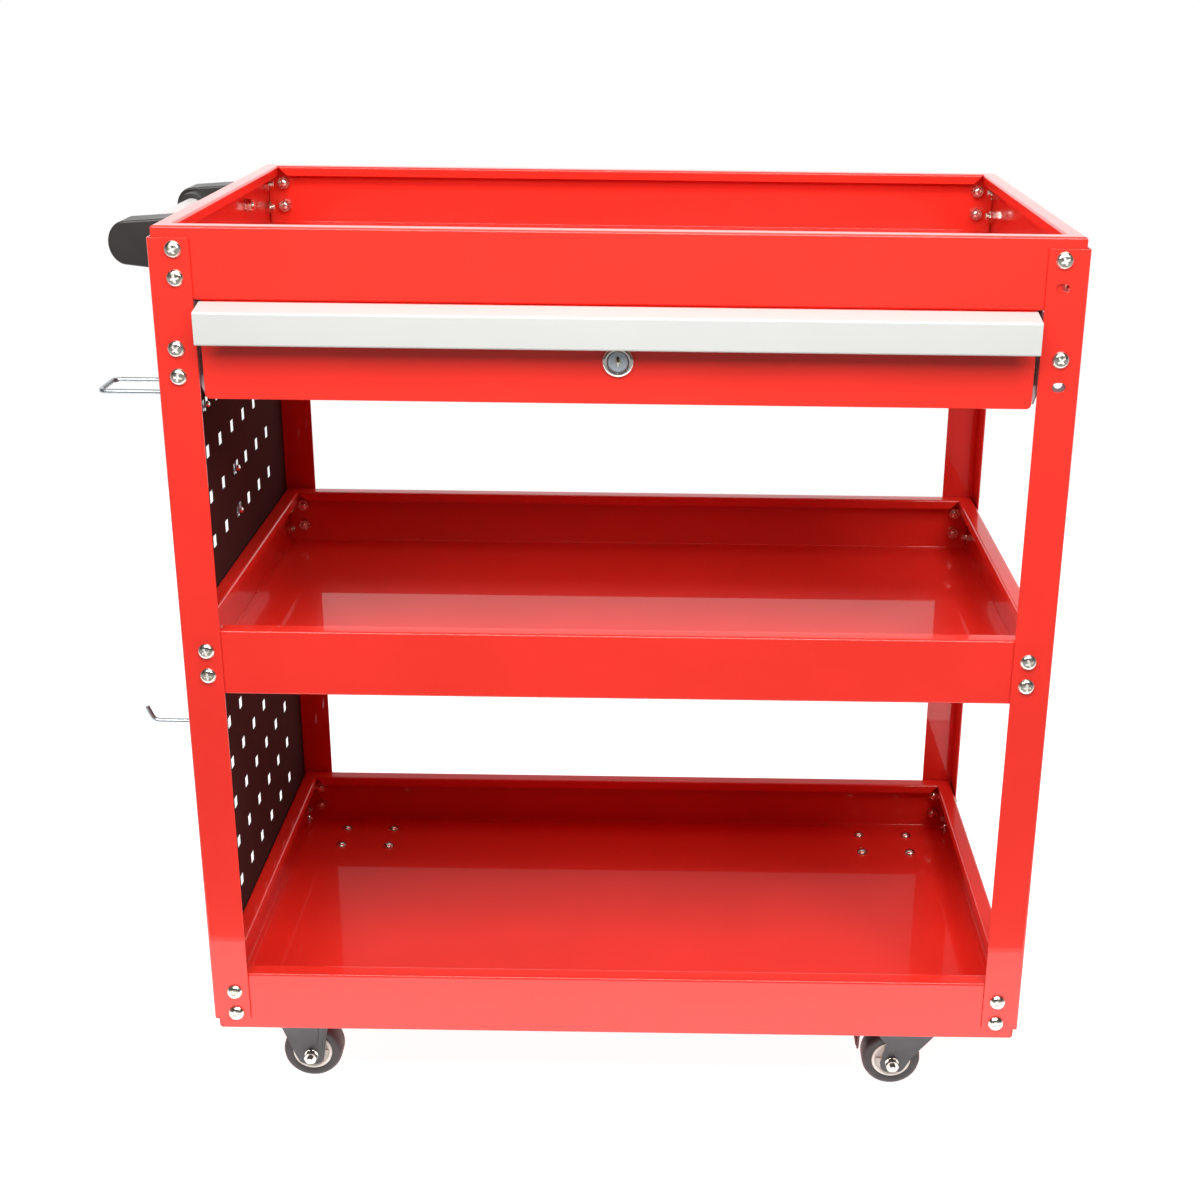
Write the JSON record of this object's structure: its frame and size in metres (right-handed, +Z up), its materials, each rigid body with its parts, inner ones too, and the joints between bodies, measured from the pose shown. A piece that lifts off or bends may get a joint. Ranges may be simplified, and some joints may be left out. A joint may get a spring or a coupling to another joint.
{
  "type": "rolling tool cart",
  "caption": "Open tiered steel tool cart on casters, with a lockable drawer under the top tray, a perforated end panel with wire hooks and a push handle.",
  "frame": {"origin": "middle of the footprint of the whole cart, handle, hooks and drawer pull included, at floor level", "axes": "+X runs along the long side from the push handle to the plain end, +Y from the drawer front to the back, +Z up"},
  "size_m": [0.7418, 0.384, 0.7365],
  "materials": {
    "red_paint": "gloss red powder coat with a slight orange peel",
    "white_paint": "off-white powder coat",
    "black_paint": "satin black powder coat",
    "zinc": "bright zinc plate",
    "black_plastic": "fine grained black moulding",
    "grey_tube": "smooth light grey coat",
    "chrome": "bright plate",
    "fork_paint": "satin grey coat",
    "hub_cream": "smooth cream moulding",
    "rubber": "matte dark rubber"
  },
  "bodies": {
    "frame": {"leg_front_left": "red_paint", "leg_front_right": "red_paint", "leg_rear_left": "red_paint", "leg_rear_right": "red_paint", "bottom_tray": "red_paint", "middle_tray": "red_paint", "top_tray": "red_paint", "pegboard_upper": "black_paint", "pegboard_lower": "black_paint", "hook_loop": "zinc", "hook_short": "zinc", "hook_long": "zinc", "handle_bracket_front": "black_plastic", "handle_bracket_rear": "black_plastic", "handle_bolt_front": "zinc", "handle_bolt_rear": "zinc", "handle_tube": "grey_tube", "slide_carrier_left": "zinc", "slide_carrier_right": "zinc", "slide_channel_left": "zinc", "slide_channel_right": "zinc", "lock_strike": "zinc", "swivel_plate_front_right": "zinc", "swivel_plate_rear_right": "zinc", "kingpin_front_right": "zinc", "kingpin_rear_right": "zinc", "fixed_fork_front_left": "fork_paint", "fixed_fork_rear_left": "fork_paint", "axle_bolt_front_left": "zinc", "axle_bolt_rear_left": "zinc"},
    "drawer": {"drawer_box": "red_paint", "drawer_front": "red_paint", "drawer_pull": "white_paint", "slide_runner_left": "zinc", "slide_runner_right": "zinc", "lock_body": "chrome", "lock_nut": "zinc"},
    "lock": {"lock_plug": "chrome", "lock_cam": "zinc"},
    "swivel_front": {"swivel_fork_front_right": "fork_paint", "axle_bolt_front_right": "zinc"},
    "wheel_front_right": {"hub_front_right": "hub_cream", "tyre_front_right": "rubber"},
    "brake_front": {"brake_pedal_front_right": "black_plastic"},
    "wheel_front_left": {"hub_front_left": "hub_cream", "tyre_front_left": "rubber"},
    "swivel_rear": {"swivel_fork_rear_right": "fork_paint", "axle_bolt_rear_right": "zinc"},
    "wheel_rear_right": {"hub_rear_right": "hub_cream", "tyre_rear_right": "rubber"},
    "brake_rear": {"brake_pedal_rear_right": "black_plastic"},
    "wheel_rear_left": {"hub_rear_left": "hub_cream", "tyre_rear_left": "rubber"}
  },
  "joints": [
    {"name": "drawer_slide", "type": "slide", "parent": "frame", "child": "drawer", "axis": [0, -1, 0], "range_m": [0, 0.25]},
    {"name": "lock_turn", "type": "hinge", "parent": "drawer", "child": "lock", "pos_m": [0.03782, -0.163, 0.644], "axis": [0, -1, 0], "range_deg": [0, 90]},
    {"name": "swivel_front_turn", "type": "hinge", "parent": "frame", "child": "swivel_front", "pos_m": [0.29932, -0.1255, 0.0635], "axis": [0, 0, 1], "continuous": true},
    {"name": "wheel_front_right_spin", "type": "hinge", "parent": "swivel_front", "child": "wheel_front_right", "pos_m": [0.27332, -0.1255, 0.025], "axis": [0, 1, 0], "continuous": true},
    {"name": "brake_front_press", "type": "hinge", "parent": "swivel_front", "child": "brake_front", "pos_m": [0.26832, -0.1255, 0.057], "axis": [0, -1, 0], "range_deg": [0, 9]},
    {"name": "wheel_front_left_spin", "type": "hinge", "parent": "frame", "child": "wheel_front_left", "pos_m": [-0.22368, -0.1255, 0.025], "axis": [0, 1, 0], "continuous": true},
    {"name": "swivel_rear_turn", "type": "hinge", "parent": "frame", "child": "swivel_rear", "pos_m": [0.29932, 0.1495, 0.0635], "axis": [0, 0, 1], "continuous": true},
    {"name": "wheel_rear_right_spin", "type": "hinge", "parent": "swivel_rear", "child": "wheel_rear_right", "pos_m": [0.27332, 0.1495, 0.025], "axis": [0, 1, 0], "continuous": true},
    {"name": "brake_rear_press", "type": "hinge", "parent": "swivel_rear", "child": "brake_rear", "pos_m": [0.26832, 0.1495, 0.057], "axis": [0, -1, 0], "range_deg": [0, 9]},
    {"name": "wheel_rear_left_spin", "type": "hinge", "parent": "frame", "child": "wheel_rear_left", "pos_m": [-0.22368, 0.1495, 0.025], "axis": [0, 1, 0], "continuous": true}
  ]
}
